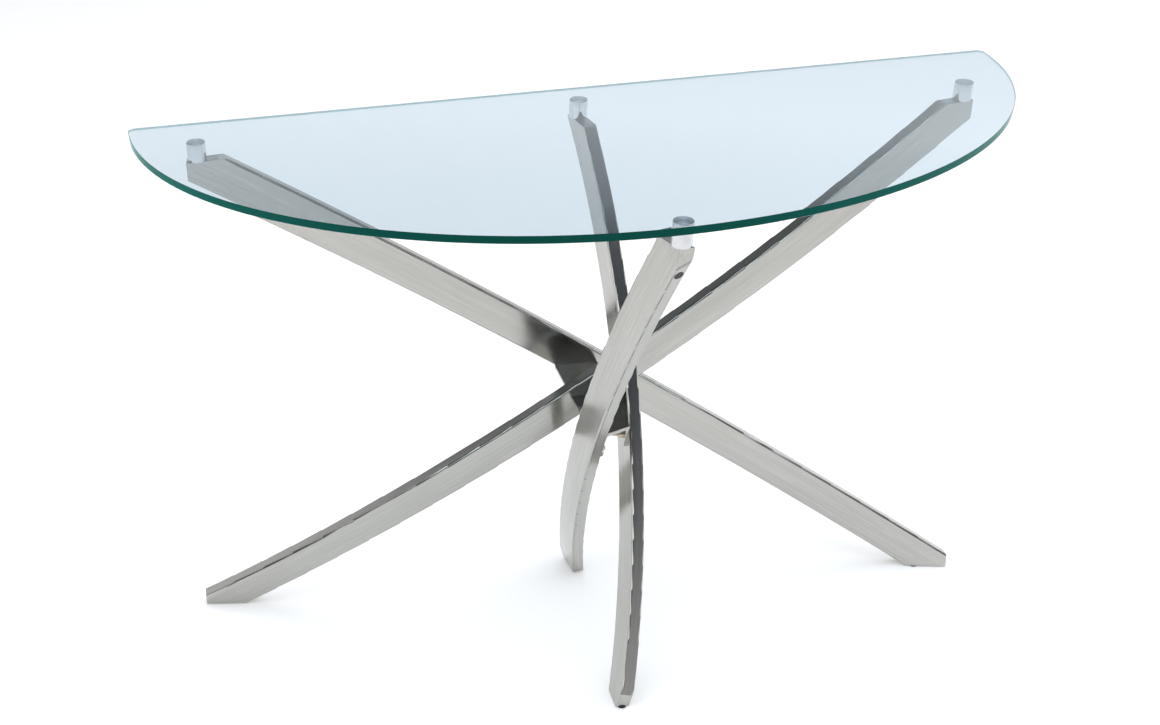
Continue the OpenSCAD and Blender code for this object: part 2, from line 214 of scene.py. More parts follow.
# %% Group: brushed grain
grain, given, result = start_group(
    "Brushed grain", "ShaderNodeTree",
    [
        ("Grain Space", VECTOR, None),
        ("Line Length", FLOAT, 0.06),
        ("Line Width", FLOAT, 0.0004),
        ("Band Width", FLOAT, 0.003),
    ],
    [("Lines", FLOAT), ("Bands", FLOAT), ("Dull Patches", FLOAT)],
)
BAND_LENGTHS = 5.0
PATCH_ACROSS = 0.05
NOISE_LOW = 0.32
NOISE_HIGH = 0.68


def stretched_noise(tree, space, length, width, detail):
    shape = place(tree, "ShaderNodeCombineXYZ", [length, width, width]).outputs[0]
    squeezed = vector_sums(tree, "DIVIDE", space, shape)
    noise = place(tree, "ShaderNodeTexNoise", {"Vector": squeezed, "Scale": 1.0, "Detail": detail})
    stretch = [noise.outputs[0], NOISE_LOW, NOISE_HIGH, 0.0, 1.0]
    return place(tree, "ShaderNodeMapRange", stretch).outputs[0]


band_length = sums(grain, "MULTIPLY", given["Line Length"], BAND_LENGTHS)
lines = stretched_noise(grain, given["Grain Space"], given["Line Length"], given["Line Width"], 3.0)
bands = stretched_noise(grain, given["Grain Space"], band_length, given["Band Width"], 2.0)
patches = stretched_noise(grain, given["Grain Space"], band_length, PATCH_ACROSS, 2.0)
grain.links.new(lines, result["Lines"])
grain.links.new(bands, result["Bands"])
grain.links.new(patches, result["Dull Patches"])
print("Group made:", grain.name)

# %% [markdown]
# Every metal and the glass have been handled, wiped and packed. That shows only as slightly
# duller patches, so one group makes soft marks and each material uses as little as it needs.

# %% Group: handling marks
MARK_CONTRAST = 4.0
marks, given, result = start_group(
    "Handling marks", "ShaderNodeTree",
    [("Position", VECTOR, None), ("Patch Size", FLOAT, 0.03), ("Share", FLOAT, 0.4)],
    [("Marks", FLOAT)],
)
spread = scaled(marks, given["Position"], sums(marks, "DIVIDE", 1.0, given["Patch Size"]))
cloud = place(marks, "ShaderNodeTexNoise", {"Vector": spread, "Scale": 1.0, "Detail": 5.0})
clear = sums(marks, "SUBTRACT", 1.0, given["Share"])
above = sums(marks, "SUBTRACT", cloud.outputs[0], clear)
sharper = place(marks, "ShaderNodeMath", [above, MARK_CONTRAST], operation="MULTIPLY", use_clamp=True)
marks.links.new(sharper.outputs[0], result["Marks"])
print("Group made:", marks.name)

# %% [markdown]
# Plated, moulded and rubber pieces have no direction to their grain, only a fine grit.

# %% Group: fine grit
grit, given, result = start_group(
    "Fine grit", "ShaderNodeTree",
    [("Position", VECTOR, None), ("Grit Size", FLOAT, 0.0005)],
    [("Grit", FLOAT)],
)
spread = scaled(grit, given["Position"], sums(grit, "DIVIDE", 1.0, given["Grit Size"]))
speckle = place(grit, "ShaderNodeTexNoise", {"Vector": spread, "Scale": 1.0, "Detail": 4.0})
grit.links.new(speckle.outputs[0], result["Grit"])
print("Group made:", grit.name)

# %% [markdown]
# Turned metal has fine rings round its axis. Each ring leans a little in or out, so the surface
# throws light along its radius, and a disc seen from above shows two bright wedges like a bow tie.
# The rings are far finer than the eye can part, so the group leans the surface's own direction by
# a noise that depends only on the distance from the axis. The straight side isn't leant.

# %% Group: turned rings
rings_group, given, result = start_group(
    "Turned rings", "ShaderNodeTree",
    [("Place On The Piece", VECTOR, None), ("Ring Width", FLOAT, 0.0003), ("Lean", FLOAT, 0.5)],
    [("Normal", VECTOR)],
)
level_place = vector_sums(rings_group, "MULTIPLY", given["Place On The Piece"], (1.0, 1.0, 0.0))
from_axis = vector_sums(rings_group, "LENGTH", level_place)
ring = sums(rings_group, "DIVIDE", from_axis, given["Ring Width"])
wobble = place(rings_group, "ShaderNodeTexNoise", {"W": ring, "Scale": 1.0, "Detail": 2.0},
               noise_dimensions="1D")
lean = sums(rings_group, "MULTIPLY", sums(rings_group, "SUBTRACT", wobble.outputs[0], 0.5),
            given["Lean"])
facing_way = place(rings_group, "ShaderNodeNewGeometry").outputs["Normal"]
upness = place(rings_group, "ShaderNodeSeparateXYZ", [facing_way]).outputs[2]
on_face = sums(rings_group, "MULTIPLY", lean, sums(rings_group, "ABSOLUTE", upness))
pushed = scaled(rings_group, vector_sums(rings_group, "NORMALIZE", level_place), on_face)
leant = vector_sums(rings_group, "NORMALIZE", vector_sums(rings_group, "ADD", facing_way, pushed))
rings_group.links.new(leant, result["Normal"])
print("Group made:", rings_group.name)

# %% [markdown]
# A material starts the same way each time: a Principled shader, the position on the piece, and
# helpers that blend two colours or two numbers by a mask and turn a height into a bump.

# %% Helpers for materials
def new_finish(name, fixed):
    material = bpy.data.materials.new(name)
    material.use_nodes = True
    tree = material.node_tree
    shader = tree.nodes["Principled BSDF"]
    for label, value in fixed.items():
        shader.inputs[label].default_value = value
    position = place(tree, "ShaderNodeTexCoord").outputs["Object"]
    return material, tree, shader, position


def blend_colours(tree, mask, first, second):
    mix = place(tree, "ShaderNodeMix", data_type="RGBA")
    tree.links.new(mask, mix.inputs[0])
    for value, key in ((first, 6), (second, 7)):
        if isinstance(value, bpy.types.NodeSocket):
            tree.links.new(value, mix.inputs[key])
        else:
            mix.inputs[key].default_value = (*value, 1.0)
    return mix.outputs[2]


def blend_numbers(tree, mask, low, high):
    return place(tree, "ShaderNodeMapRange", [mask, 0.0, 1.0, low, high]).outputs[0]


def bump(tree, shader, height, strength, depth, surface=None):
    node = place(tree, "ShaderNodeBump", {"Strength": strength, "Distance": depth, "Height": height})
    if surface:
        tree.links.new(surface, node.inputs["Normal"])
    tree.links.new(node.outputs[0], shader.inputs["Normal"])


print("Material helpers ready")

# %% [markdown]
# Brushed nickel is a metal with a warm grey colour. The lines and bands change its colour a little,
# the dull stretches change its roughness, and the single lines also lift its surface a few
# hundredths of a millimetre, which softens each reflection across the grain. Every tube needs its
# own grain, because each one is bent about another centre.

# %% The brushed finish
NICKEL = (0.50, 0.495, 0.47)
NICKEL_SHADE = (0.39, 0.385, 0.362)
PATCH_TONE = 0.45
BRIGHT_ROUGHNESS = 0.12
DULL_ROUGHNESS = 0.23
MARK_ROUGHNESS = 0.03
SCRATCH_STRENGTH = 0.12
SCRATCH_DEPTH = 0.05 * MM


def brushed_finish(name, lay_of):
    material, tree, shader, position = new_finish(name, {"Metallic": 1.0})
    space, surface = lay_of(tree, position)
    lay = use_group(tree, grain, {"Grain Space": space})
    rub = use_group(tree, marks, {"Position": position, "Patch Size": 0.045, "Share": 0.42})
    streak = sums(tree, "MULTIPLY", lay["Lines"], lay["Bands"])
    tone = sums(tree, "ADD", streak, sums(tree, "MULTIPLY", lay["Dull Patches"], PATCH_TONE))
    colour = blend_colours(tree, tone, NICKEL_SHADE, NICKEL)
    tree.links.new(colour, shader.inputs["Base Color"])
    satin = blend_numbers(tree, lay["Dull Patches"], BRIGHT_ROUGHNESS, DULL_ROUGHNESS)
    rough = sums(tree, "ADD", satin, sums(tree, "MULTIPLY", rub["Marks"], MARK_ROUGHNESS))
    tree.links.new(rough, shader.inputs["Roughness"])
    bump(tree, shader, lay["Lines"], SCRATCH_STRENGTH, SCRATCH_DEPTH, surface)
    return material


print("Brushed finish: roughness", BRIGHT_ROUGHNESS, "to", DULL_ROUGHNESS)


# %% [markdown]
# The centre of each bend can be read from the tube's own mesh. Its narrow sides are the only large
# flat faces, so the direction with the most area is the one across the bend. Seen along that
# direction the tube is an arc, and a circle fitted to its corners gives the centre and the radius.

# %% Read a tube's bend from its mesh
CORNER_RADIUS = 3.0 * MM
NORMAL_PLACES = 2


def read_bend(node):
    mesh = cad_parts[node].data
    corners = np.array([v.co for v in mesh.vertices])
    normals = np.array([p.normal for p in mesh.polygons])
    areas = np.array([p.area for p in mesh.polygons])
    groups, group_of = np.unique(np.round(normals, NORMAL_PLACES), axis=0, return_inverse=True)
    totals = np.bincount(group_of.reshape(-1), weights=areas)
    in_largest = group_of.reshape(-1) == totals.argmax()
    side = (normals[in_largest] * areas[in_largest, None]).sum(0)
    side /= np.linalg.norm(side)
    spare = corners - corners.mean(0)
    up = np.linalg.eigh(spare.T @ spare)[1][:, -1]
    up -= side * (up @ side)
    up /= np.linalg.norm(up)
    bow = np.cross(side, up)
    x = corners @ bow
    y = corners @ up
    terms = np.column_stack([2 * x, 2 * y, np.ones(len(x))])
    middle_x, middle_y, rest = np.linalg.lstsq(terms, x ** 2 + y ** 2, rcond=None)[0]
    radius = math.sqrt(rest + middle_x ** 2 + middle_y ** 2)
    centre = bow * middle_x + up * middle_y + side * (corners @ side).mean()
    if x.mean() < middle_x:
        bow = -bow
    print(node, "is bent to a radius of", round(radius / MM), "mm")
    bend = {"Bend Centre": centre, "Outward": bow, "Up The Tube": up, "Across": side,
            "Bend Radius": radius}
    from_bend_centre = np.hypot(x - middle_x, y - middle_y)
    section = {"Across": side, "Corner Radius": CORNER_RADIUS, "Half Width": np.ptp(corners @ side) / 2,
               "Half Thickness": abs(from_bend_centre - radius).max()}
    return bend, section


def bent_lay(bend, section):
    def lay_of(tree, position):
        rolled_out = use_group(tree, unroll, {"Position": position, **bend})
        surface = use_group(tree, tube_corners, {
            "Grain Space": rolled_out["Grain Space"],
            "Outward Here": rolled_out["Outward Here"],
            **section,
        })["Normal"]
        return rolled_out["Grain Space"], surface

    return lay_of


# %% [markdown]
# The plates that close a tube lie in its ends, so they share its grain. The hub plates are flat,
# and their grain runs straight across the table.

# %% Finish the tubes, their plates and the hub
def finish_node(node, material):
    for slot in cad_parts[node].material_slots:
        slot.material = material


STRUTS = ("left", "right", "back", "front")
for strut in STRUTS:
    brushed = brushed_finish("brushed_" + strut, bent_lay(*read_bend("strut_" + strut)))
    for piece in ("strut_", "top_plate_", "top_end_", "foot_plate_", "foot_end_"):
        finish_node(piece + strut, brushed)


def straight_lay(tree, position):
    return position, None


hub_finish = brushed_finish("brushed_hub", straight_lay)
finish_node("hub_plate", hub_finish)
finish_node("hub_channel", hub_finish)
print("Brushed:", len(STRUTS), "tubes with their plates, and the hub")

# %% [markdown]
# Yellow zinc plating is thin and a little cloudy: it drifts between straw and a cooler grey. It
# covers the bolts, screws, washers and rivet nuts.

# %% Zinc-plated fasteners
STRAW = (0.62, 0.53, 0.36)
COOL_GREY = (0.58, 0.57, 0.52)
zinc, tree, shader, position = new_finish("yellow_zinc", {"Metallic": 1.0})
drift = use_group(tree, marks, {"Position": position, "Patch Size": 0.004, "Share": 0.55})
speck = use_group(tree, grit, {"Position": position, "Grit Size": 0.0004})
plating = blend_colours(tree, drift["Marks"], STRAW, COOL_GREY)
tree.links.new(plating, shader.inputs["Base Color"])
tree.links.new(blend_numbers(tree, speck["Grit"], 0.22, 0.42), shader.inputs["Roughness"])
bump(tree, shader, speck["Grit"], 0.15, 0.05 * MM)
for node in ("hub_bolts", "hub_washers", "rivet_nuts", "standoff_screws", "standoff_washers"):
    finish_node(node, zinc)
print("Finish made:", zinc.name)

# %% [markdown]
# The plugs are moulded in black plastic, with the faint texture of the mould.

# %% Moulded plugs
BLACK = (0.010, 0.010, 0.011)
BLACK_SHEEN = (0.022, 0.022, 0.024)
plastic, tree, shader, position = new_finish("black_plastic", {"IOR": 1.49})
speck = use_group(tree, grit, {"Position": position, "Grit Size": 0.0006})
black = blend_colours(tree, speck["Grit"], BLACK, BLACK_SHEEN)
tree.links.new(black, shader.inputs["Base Color"])
tree.links.new(blend_numbers(tree, speck["Grit"], 0.38, 0.55), shader.inputs["Roughness"])
bump(tree, shader, speck["Grit"], 0.3, 0.1 * MM)
finish_node("hole_plugs", plastic)
print("Finish made:", plastic.name)

# %% [markdown]
# The standoffs are polished after turning, so they are bright and sharp, with the rings left on
# their ends. Their mesh will carry each point's place on its own piece, under this name.

# %% The turned finish
PLACE_NAME = "place_on_piece"
POLISHED = (0.64, 0.65, 0.66)
WIPED = (0.52, 0.53, 0.54)
RING_WIDTH = 0.25 * MM
RING_LEAN = 2.6
turned, tree, shader, position = new_finish("turned_metal", {"Metallic": 1.0})
own_place = place(tree, "ShaderNodeAttribute", attribute_name=PLACE_NAME).outputs["Vector"]
ringed = use_group(tree, rings_group, {
    "Place On The Piece": own_place, "Ring Width": RING_WIDTH, "Lean": RING_LEAN,
})
tree.links.new(ringed["Normal"], shader.inputs["Normal"])
rub = use_group(tree, marks, {"Position": position, "Patch Size": 0.012, "Share": 0.45})
shine = blend_colours(tree, rub["Marks"], POLISHED, WIPED)
tree.links.new(shine, shader.inputs["Base Color"])
tree.links.new(blend_numbers(tree, rub["Marks"], 0.08, 0.15), shader.inputs["Roughness"])
print("Finish made:", turned.name)

# %% [markdown]
# The pads are rubber: dark, dull and slightly dusty.

# %% The rubber finish
RUBBER = (0.018, 0.018, 0.018)
RUBBER_WORN = (0.045, 0.045, 0.044)
DUST = (0.075, 0.073, 0.070)
rubber, tree, shader, position = new_finish("pad_rubber", {"IOR": 1.5})
speck = use_group(tree, grit, {"Position": position, "Grit Size": 0.0008})
dust = use_group(tree, marks, {"Position": position, "Patch Size": 0.006, "Share": 0.5})
dark = blend_colours(tree, speck["Grit"], RUBBER, RUBBER_WORN)
dusty = blend_colours(tree, dust["Marks"], dark, DUST)
tree.links.new(dusty, shader.inputs["Base Color"])
tree.links.new(blend_numbers(tree, speck["Grit"], 0.62, 0.85), shader.inputs["Roughness"])
bump(tree, shader, speck["Grit"], 0.4, 0.15 * MM)
print("Finish made:", rubber.name)

# %% [markdown]
# Standoffs and pads are both short round pieces with rounded rims, set on a few points. One
# Geometry Nodes tree makes them all. It takes a cylinder with spare rings near its ends, moves
# those rings onto a quarter circle, and puts a copy on each point. The ring number from the end
# gives the angle, so the rule needs no drawing.

# %% Tree: round pieces on points
GEOMETRY = "NodeSocketGeometry"
discs, given, result = start_group(
    "Round pieces on points", "GeometryNodeTree",
    [
        ("Points", GEOMETRY, None),
        ("Diameter", FLOAT, 0.02),
        ("Height", FLOAT, 0.02),
        ("Rim Radius", FLOAT, 0.001),
        ("Rim Steps", "NodeSocketInt", 4),
        ("Sides", "NodeSocketInt", 96),
        ("Finish", "NodeSocketMaterial", None),
    ],
    [("Geometry", GEOMETRY)],
)
radius = sums(discs, "DIVIDE", given["Diameter"], 2.0)
half = sums(discs, "DIVIDE", given["Height"], 2.0)
rings = sums(discs, "ADD", sums(discs, "MULTIPLY", given["Rim Steps"], 2.0), 1.0)
blank = place(discs, "GeometryNodeMeshCylinder", fill_type="NGON")
for label, value in (("Vertices", given["Sides"]), ("Side Segments", rings),
                     ("Radius", radius), ("Depth", given["Height"])):
    discs.links.new(value, blank.inputs[label])
print("Tree started:", discs.name)

# %% [markdown]
# Now the rule itself. The ring's share of the rim, from 0 at the end face to 1 where the straight
# side starts, becomes an angle of up to 90 degrees. Its cosine sets the height, its sine the radius.
# Before the piece is copied, each point notes its place, which the turned finish reads later.

# %% Tree: round the rims and place the copies
where = place(discs, "GeometryNodeInputPosition").outputs[0]
parts_of = place(discs, "ShaderNodeSeparateXYZ", [where]).outputs
level = sums(discs, "DIVIDE", sums(discs, "ABSOLUTE", parts_of[2]), half)
from_end = sums(discs, "MULTIPLY", sums(discs, "SUBTRACT", 1.0, level), sums(discs, "DIVIDE", rings, 2.0))
share = sums(discs, "MINIMUM", sums(discs, "DIVIDE", from_end, given["Rim Steps"]), 1.0)
angle = sums(discs, "MULTIPLY", share, math.pi / 2)
flat_part = sums(discs, "SUBTRACT", half, given["Rim Radius"])
rim_height = sums(discs, "MULTIPLY", given["Rim Radius"], sums(discs, "COSINE", angle))
new_level = sums(discs, "MULTIPLY", sums(discs, "ADD", flat_part, rim_height),
                 sums(discs, "SIGN", parts_of[2]))
pulled_in = sums(discs, "MULTIPLY", given["Rim Radius"],
                 sums(discs, "SUBTRACT", 1.0, sums(discs, "SINE", angle)))
narrowing = sums(discs, "SUBTRACT", 1.0, sums(discs, "DIVIDE", pulled_in, radius))
spot = place(discs, "ShaderNodeCombineXYZ", [
    sums(discs, "MULTIPLY", parts_of[0], narrowing),
    sums(discs, "MULTIPLY", parts_of[1], narrowing),
    sums(discs, "ADD", new_level, half),
]).outputs[0]
rounded = place(discs, "GeometryNodeSetPosition", {"Geometry": blank.outputs["Mesh"], "Position": spot})
noted = place(discs, "GeometryNodeStoreNamedAttribute",
              {"Geometry": rounded.outputs[0], "Name": PLACE_NAME}, data_type="FLOAT_VECTOR")
now_at = place(discs, "GeometryNodeInputPosition").outputs[0]
discs.links.new(now_at, noted.inputs["Value"])
copies = place(discs, "GeometryNodeInstanceOnPoints",
               {"Points": given["Points"], "Instance": noted.outputs[0]})
solid = place(discs, "GeometryNodeRealizeInstances", {"Geometry": copies.outputs[0]})
finished = place(discs, "GeometryNodeSetMaterial",
                 {"Geometry": solid.outputs[0], "Material": given["Finish"]})
discs.links.new(finished.outputs[0], result["Geometry"])
print("Tree finished:", discs.name, "with", len(discs.nodes), "nodes")

# %% [markdown]
# A tree works as a modifier on an object. Its dials are set by each socket's identifier, before
# Blender first works the tree out. The result is then kept as a plain mesh, so that the piece no
# longer depends on the tree. Edges sharper than a given angle stay crisp, and the rest is smooth.

# %% Helper: run a tree and keep its mesh
SHARP_EDGE = math.radians(24)


def run_tree(name, start_mesh, group, dials, finish_with=None):
    piece = bpy.data.objects.new(name, start_mesh)
    bpy.context.scene.collection.objects.link(piece)
    modifier = piece.modifiers.new("rule", "NODES")
    modifier.node_group = group
    for item in group.interface.items_tree:
        if item.in_out == "INPUT" and item.name in dials:
            modifier[item.identifier] = dials[item.name]
    if finish_with:
        finish_with(piece)
    graph = bpy.context.evaluated_depsgraph_get()
    mesh = bpy.data.meshes.new_from_object(piece.evaluated_get(graph), depsgraph=graph)
    piece.modifiers.clear()
    piece.data = mesh
    mesh.polygons.foreach_set("use_smooth", [True] * len(mesh.polygons))
    mesh.set_sharp_from_angle(angle=SHARP_EDGE)
    mesh.update()
    print(name, "has", len(mesh.polygons), "faces")
    return piece


def points_mesh(name, points):
    mesh = bpy.data.meshes.new(name)
    mesh.from_pydata([tuple(p) for p in points], [], [])
    return mesh


# %% [markdown]
# Each standoff is turned from bar, faced flat and glued to the glass with a film of clear adhesive.
# Their places are the middles of the CAD standoffs. The film is the only room above them.

# %% The four standoffs
GLUE_FILM = 0.1 * MM
STANDOFF_RIM = 0.8 * MM
STANDOFF_SIDES = 96
seats = []
for strut in STRUTS:
    low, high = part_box("standoff_" + strut)
    seats.append(((low.x + high.x) / 2, (low.y + high.y) / 2, low.z))
standoffs = run_tree("standoffs_turned", points_mesh("seats", seats), discs, {
    "Diameter": high.x - low.x,
    "Height": high.z - low.z - GLUE_FILM,
    "Rim Radius": STANDOFF_RIM,
    "Rim Steps": 4,
    "Sides": STANDOFF_SIDES,
    "Finish": turned,
})
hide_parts("standoff_left", "standoff_right", "standoff_back", "standoff_front")
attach(standoffs, "root")

# %% [markdown]
# The pads are one CAD node with eight discs. Corners that lie near each other belong to the same
# disc, so the middles can be gathered one by one.

# %% The floor pads
low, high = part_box("floor_pads")
PAD_NEAR = 9 * MM
PAD_RIM = 0.6 * MM
PAD_SIDES = 48
left_over = np.array([v.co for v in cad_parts["floor_pads"].data.vertices])
middles = []
while len(left_over):
    near = np.linalg.norm(left_over[:, :2] - left_over[0, :2], axis=1) < 2 * PAD_NEAR
    disc = left_over[near]
    middles.append((disc.min(0) + disc.max(0)) / 2)
    pad_width = disc[:, 0].max() - disc[:, 0].min()
    left_over = left_over[~near]
feet = [(middle[0], middle[1], low.z) for middle in middles]
print(len(feet), "pads,", round(pad_width / MM, 1), "mm across")
pads = run_tree("floor_pads_moulded", points_mesh("feet", feet), discs, {
    "Diameter": float(pad_width),
    "Height": high.z - low.z,
    "Rim Radius": PAD_RIM,
    "Rim Steps": 3,
    "Sides": PAD_SIDES,
    "Finish": rubber,
})
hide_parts("floor_pads")
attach(pads, "root")

# %% [markdown]
# The top is float glass, cut to half an oval and ground to a polished edge. Looked through, such
# glass is nearly clear with a cool cast. Light that reaches the edge has crossed the whole sheet
# and comes out green. So the plate has two finishes: clear glass on the faces, and on the rim a
# deep green, with a lighter green painted in as sheen where the rim turns away from the eye.

# %% Clear glass for the faces
COOL_TINT = (0.68, 0.78, 0.845, 1.0)
SHADOW_TINT = (0.90, 0.96, 0.97, 1.0)
FAINT_HAZE = 0.012
clear_glass, tree, shader, position = new_finish("clear_glass", {
    "Base Color": COOL_TINT,
    "Transmission Weight": 1.0,
    "IOR": 1.5,
})
rub = use_group(tree, marks, {"Position": position, "Patch Size": 0.12, "Share": 0.4})
tree.links.new(blend_numbers(tree, rub["Marks"], 0.0, FAINT_HAZE), shader.inputs["Roughness"])
see_through = place(tree, "ShaderNodeBsdfTransparent", {"Color": SHADOW_TINT})
light_path = place(tree, "ShaderNodeLightPath")
choose = place(tree, "ShaderNodeMixShader", [light_path.outputs["Is Shadow Ray"]])
tree.links.new(shader.outputs[0], choose.inputs[1])
tree.links.new(see_through.outputs[0], choose.inputs[2])
tree.links.new(choose.outputs[0], tree.nodes["Material Output"].inputs["Surface"])
print("Finish made:", clear_glass.name)

# %% [markdown]
# The rim could be real glass as well, but light that crosses a metre of glass takes very many
# bounces to render. A plain green with a polish looks the same and is clean at once. The back rim
# is seen from inside, through the top, and there it gathers light and looks pale. That light is
# painted in: the side of the surface that faces the eye picks the colour, pale from inside.

# %% The green rim
DEEP_GREEN = (0.0002, 0.055, 0.040)
PAINTED_SHEEN_GREEN = (0.004, 0.20, 0.165)
PAINTED_BACK_LIGHT = (0.66, 0.84, 0.88)
rim_glass, tree, shader, position = new_finish("green_rim", {
    "IOR": 1.5,
    "Specular IOR Level": 0.05,
})
polish = use_group(tree, marks, {"Position": position, "Patch Size": 0.02, "Share": 0.45})
# Painted sheen: the rim's green is lightened where the surface turns away from the eye.
facing = place(tree, "ShaderNodeLayerWeight", {"Blend": 0.5}).outputs["Facing"]
green = blend_colours(tree, facing, DEEP_GREEN, PAINTED_SHEEN_GREEN)
# Painted light: seen from inside, the back rim gets a pale colour in place of the light it gathers.
from_inside = place(tree, "ShaderNodeNewGeometry").outputs["Backfacing"]
tree.links.new(blend_colours(tree, from_inside, green, PAINTED_BACK_LIGHT), shader.inputs["Base Color"])
tree.links.new(blend_numbers(tree, polish["Marks"], 0.08, 0.16), shader.inputs["Roughness"])
print("Finish made:", rim_glass.name)

# %% [markdown]
# The plate follows a rule, so it is made by a tree too. An arc is squashed into half an ellipse and
# closed by the straight back edge. A fillet of a single straight step cuts the two back corners.

# %% Tree: half-oval plate
plate, given, result = start_group(
    "Half-oval plate", "GeometryNodeTree",
    [
        ("Start", GEOMETRY, None),
        ("Half Width", FLOAT, 0.6),
        ("Depth", FLOAT, 0.4),
        ("Thickness", FLOAT, 0.01),
        ("Corner Cut", FLOAT, 0.007),
        ("Points", "NodeSocketInt", 121),
        ("Place", VECTOR, None),
        ("Face Finish", "NodeSocketMaterial", None),
        ("Rim Finish", "NodeSocketMaterial", None),
    ],
    [("Geometry", GEOMETRY)],
)
arc = place(plate, "GeometryNodeCurveArc", {
    "Resolution": given["Points"], "Radius": 1.0, "Start Angle": math.pi, "Sweep Angle": math.pi,
})
where = place(plate, "GeometryNodeInputPosition").outputs[0]
oval = place(plate, "ShaderNodeCombineXYZ", [given["Half Width"], given["Depth"], 1.0]).outputs[0]
squashed = place(plate, "GeometryNodeSetPosition", {
    "Geometry": arc.outputs[0], "Position": vector_sums(plate, "MULTIPLY", where, oval),
})
closed = place(plate, "GeometryNodeSetSplineCyclic", {"Geometry": squashed.outputs[0], "Cyclic": True})
ends = place(plate, "GeometryNodeCurveEndpointSelection", {"Start Size": 1, "End Size": 1})
cut = sums(plate, "MULTIPLY", ends.outputs[0], given["Corner Cut"])
clipped = place(plate, "GeometryNodeFilletCurve", {
    "Curve": closed.outputs[0], "Radius": cut, "Count": 1,
}, mode="POLY")
print("Tree started:", plate.name)

# %% [markdown]
# The outline is filled, drawn up to the glass's thickness, and closed with a copy underneath that
# faces down. A face whose direction is nearly level belongs to the rim, so one test on the normal
# tells the tree where each finish goes.

# %% Tree: fill the outline and give it its thickness
NEARLY_LEVEL = 0.5
WELD = 1e-6
filled = place(plate, "GeometryNodeFillCurve", {"Curve": clipped.outputs[0]}, mode="NGONS")
clear_sheet = place(plate, "GeometryNodeSetMaterial", {
    "Geometry": filled.outputs[0], "Material": given["Face Finish"],
})
raised = place(plate, "GeometryNodeExtrudeMesh", {
    "Mesh": clear_sheet.outputs[0], "Offset": (0.0, 0.0, 1.0), "Offset Scale": given["Thickness"],
    "Individual": False,
}, mode="FACES")
under = place(plate, "GeometryNodeFlipFaces", {"Mesh": clear_sheet.outputs[0]})
both = place(plate, "GeometryNodeJoinGeometry")
plate.links.new(raised.outputs["Mesh"], both.inputs[0])
plate.links.new(under.outputs[0], both.inputs[0])
welded = place(plate, "GeometryNodeMergeByDistance", {"Geometry": both.outputs[0], "Distance": WELD})
moved = place(plate, "GeometryNodeTransform", {
    "Geometry": welded.outputs[0], "Translation": given["Place"],
})
solid = place(plate, "GeometryNodeRealizeInstances", {"Geometry": moved.outputs[0]})
face_way = place(plate, "GeometryNodeInputNormal").outputs[0]
steepness = sums(plate, "ABSOLUTE", place(plate, "ShaderNodeSeparateXYZ", [face_way]).outputs[2])
with_rim = place(plate, "GeometryNodeSetMaterial", {
    "Geometry": solid.outputs[0],
    "Selection": sums(plate, "LESS_THAN", steepness, NEARLY_LEVEL),
    "Material": given["Rim Finish"],
})
plate.links.new(with_rim.outputs[0], result["Geometry"])
print("Tree finished:", plate.name, "with", len(plate.nodes), "nodes")

# %% [markdown]
# A polished edge always has a narrow flat ground off both corners, so that nobody is cut. It is
# what catches the light as a thin bright line. A Bevel modifier with a single step makes it.

# %% The glass top
ARRIS = 0.5 * MM
GROUND_CORNER = math.radians(60)
RIM_SLOT = 1
OUTLINE_POINTS = 121
low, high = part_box("glass_top")
glass_corners = np.array([v.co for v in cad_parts["glass_top"].data.vertices])
AT_BACK = 0.01 * MM
at_back = glass_corners[:, 1] > high.y - AT_BACK
corner_cut = high.x - glass_corners[at_back, 0].max()


def grind_edges(piece):
    bevel = piece.modifiers.new("arris", "BEVEL")
    bevel.width = ARRIS
    bevel.segments = 1
    bevel.limit_method = "ANGLE"
    bevel.angle_limit = GROUND_CORNER
    bevel.material = RIM_SLOT


glass = run_tree("glass_top_ground", points_mesh("glass_start", []), plate, {
    "Half Width": high.x,
    "Depth": high.y - low.y,
    "Thickness": high.z - low.z,
    "Corner Cut": float(corner_cut),
    "Points": OUTLINE_POINTS,
    "Place": (0.0, high.y, low.z),
    "Face Finish": clear_glass,
    "Rim Finish": rim_glass,
}, grind_edges)
print("Finishes on the glass:", [m.name for m in glass.data.materials])
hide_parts("glass_top")
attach(glass, "root")

# %% [markdown]
# The floor is a plain pale sheet, far larger than the view. It isn't part of the table, and it is
# a hair below it so that the two never share a surface.

# %% The floor
FLOOR_HALF = 9.0
FLOOR_DROP = 0.2 * MM
floor_mesh = bpy.data.meshes.new("studio_floor")
floor_mesh.from_pydata([
    (-FLOOR_HALF, -FLOOR_HALF, -FLOOR_DROP),
    (FLOOR_HALF, -FLOOR_HALF, -FLOOR_DROP),
    (FLOOR_HALF, FLOOR_HALF, -FLOOR_DROP),
    (-FLOOR_HALF, FLOOR_HALF, -FLOOR_DROP),
], [], [(0, 1, 2, 3)])
floor = bpy.data.objects.new("studio_floor", floor_mesh)
bpy.context.scene.collection.objects.link(floor)
paper, tree, shader, position = new_finish("pale_paper", {
    "Roughness": 0.9,
    "Specular IOR Level": 0.1,
    "Emission Color": (1.0, 1.0, 1.0, 1.0),
    "Emission Strength": 0.22,
})
speck = use_group(tree, grit, {"Position": position, "Grit Size": 0.004})
pale = blend_colours(tree, speck["Grit"], (0.93, 0.93, 0.935), (0.95, 0.95, 0.955))
tree.links.new(pale, shader.inputs["Base Color"])
floor_mesh.materials.append(paper)
print("Floor is", 2 * FLOOR_HALF, "m square")

# %% [markdown]
# Metal shows the room rather than itself, so a studio for metal is built from what it will
# reflect. One very large lamp overhead lights the floor evenly and stays out of the reflections.
# Two upright banks of light stand left and right.

